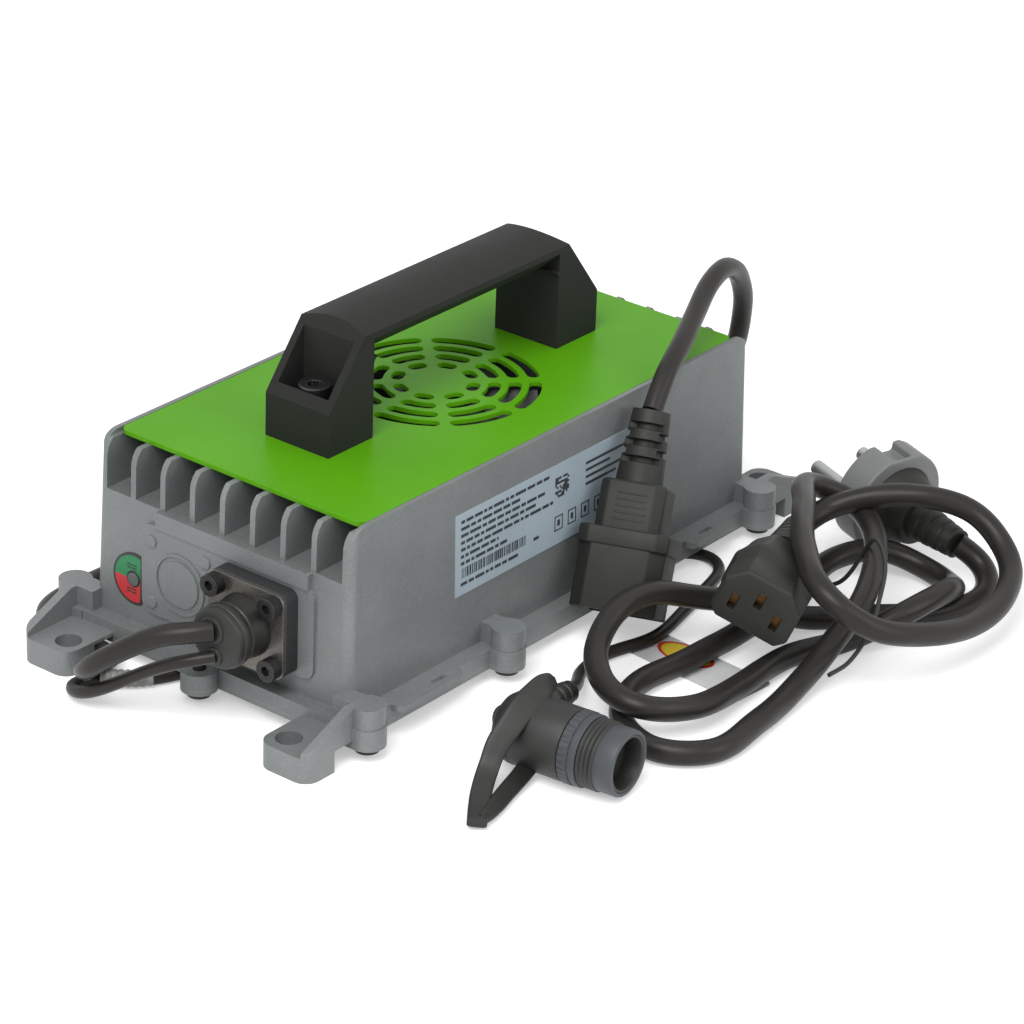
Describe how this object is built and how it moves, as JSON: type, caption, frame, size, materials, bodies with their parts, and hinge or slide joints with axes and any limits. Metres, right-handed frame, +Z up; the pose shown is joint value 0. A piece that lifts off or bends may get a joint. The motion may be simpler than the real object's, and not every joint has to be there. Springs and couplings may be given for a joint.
{
  "type": "forklift battery charger",
  "caption": "Fan-cooled battery charger in a finned cast housing on drilled feet, with a carrying handle, a two-cord gland, an inline mains plug, a battery connector and a mains lead",
  "frame": {"origin": "middle of the feet's undersides, on the floor, without the free cords and what is on them", "axes": "+X along the housing away from the gland, +Y away from the rating label, +Z up"},
  "size_m": [0.2847, 0.237, 0.104],
  "materials": {
    "housing": "silver-grey powder coat on a die casting",
    "bottom_cover": "silver-grey powder coat on sheet",
    "cover_seal": "black silicone",
    "cover_screws": "blackened steel",
    "top_plate": "leaf-green satin paint on sheet aluminium",
    "handle": "fine-grained black moulding",
    "handle_screws": "blackened steel",
    "fan_frame": "black moulding",
    "fan_rotor": "black moulding",
    "fan_screws": "plated steel",
    "gland_block": "black moulding",
    "gland_plate": "stainless sheet",
    "gland_boot": "black rubber",
    "gland_screws": "blackened steel",
    "indicator_label": "printed film",
    "indicator_lens": "clear light pipe",
    "rating_label": "pale printed film",
    "main_board": "green circuit board",
    "board_screws": "plated steel",
    "transformer": "ferrite core with taped winding",
    "pfc_choke": "enamelled copper on a ring core",
    "output_choke": "moulded choke",
    "bulk_capacitors": "sleeved can",
    "thermal_pads": "soft heat pad",
    "power_transistors": "moulded package",
    "clamp_bars": "bare bar",
    "led_board": "green circuit board",
    "ac_cord": "black jacket",
    "ac_plug": "soft black moulding",
    "ac_plug_pins": "plated contacts",
    "dc_cord": "black jacket",
    "connector_boot": "black rubber",
    "connector_barrel": "dark grey-green moulding",
    "connector_rings": "blue-grey moulding",
    "connector_insert": "dark insert",
    "connector_contacts": "turned contacts",
    "cord_flag": "white film tag",
    "mains_cord": "black jacket",
    "lead_socket": "soft black moulding",
    "lead_contacts": "sprung contacts",
    "plug_face": "pale grey insert",
    "plug_body": "soft black moulding",
    "plug_pins": "plated pins",
    "twist_tie": "coated wire"
  },
  "bodies": {
    "charger": {"housing": "housing", "bottom_cover": "bottom_cover", "cover_seal": "cover_seal", "cover_screws": "cover_screws", "top_plate": "top_plate", "handle": "handle", "handle_screws": "handle_screws", "fan_frame": "fan_frame", "fan_screws": "fan_screws", "gland_block": "gland_block", "gland_plate": "gland_plate", "gland_boot": "gland_boot", "gland_screws": "gland_screws", "indicator_label": "indicator_label", "indicator_lens": "indicator_lens", "rating_label": "rating_label", "main_board": "main_board", "board_screws": "board_screws", "transformer": "transformer", "pfc_choke": "pfc_choke", "output_choke": "output_choke", "bulk_capacitors": "bulk_capacitors", "thermal_pads": "thermal_pads", "power_transistors": "power_transistors", "clamp_bars": "clamp_bars", "led_board": "led_board", "ac_cord": "ac_cord", "ac_plug": "ac_plug", "ac_plug_pins": "ac_plug_pins", "dc_cord": "dc_cord", "connector_boot": "connector_boot", "connector_barrel": "connector_barrel", "connector_rings": "connector_rings", "connector_insert": "connector_insert", "connector_contacts": "connector_contacts", "cord_flag": "cord_flag", "mains_cord": "mains_cord", "lead_socket": "lead_socket", "lead_contacts": "lead_contacts", "plug_face": "plug_face", "plug_body": "plug_body", "plug_pins": "plug_pins", "twist_tie": "twist_tie"},
    "fan": {"fan_rotor": "fan_rotor"}
  },
  "joints": [
    {"name": "fan_spin", "type": "hinge", "parent": "charger", "child": "fan", "pos_m": [0, 0, 0.058], "axis": [0, 0, 1], "continuous": true}
  ]
}
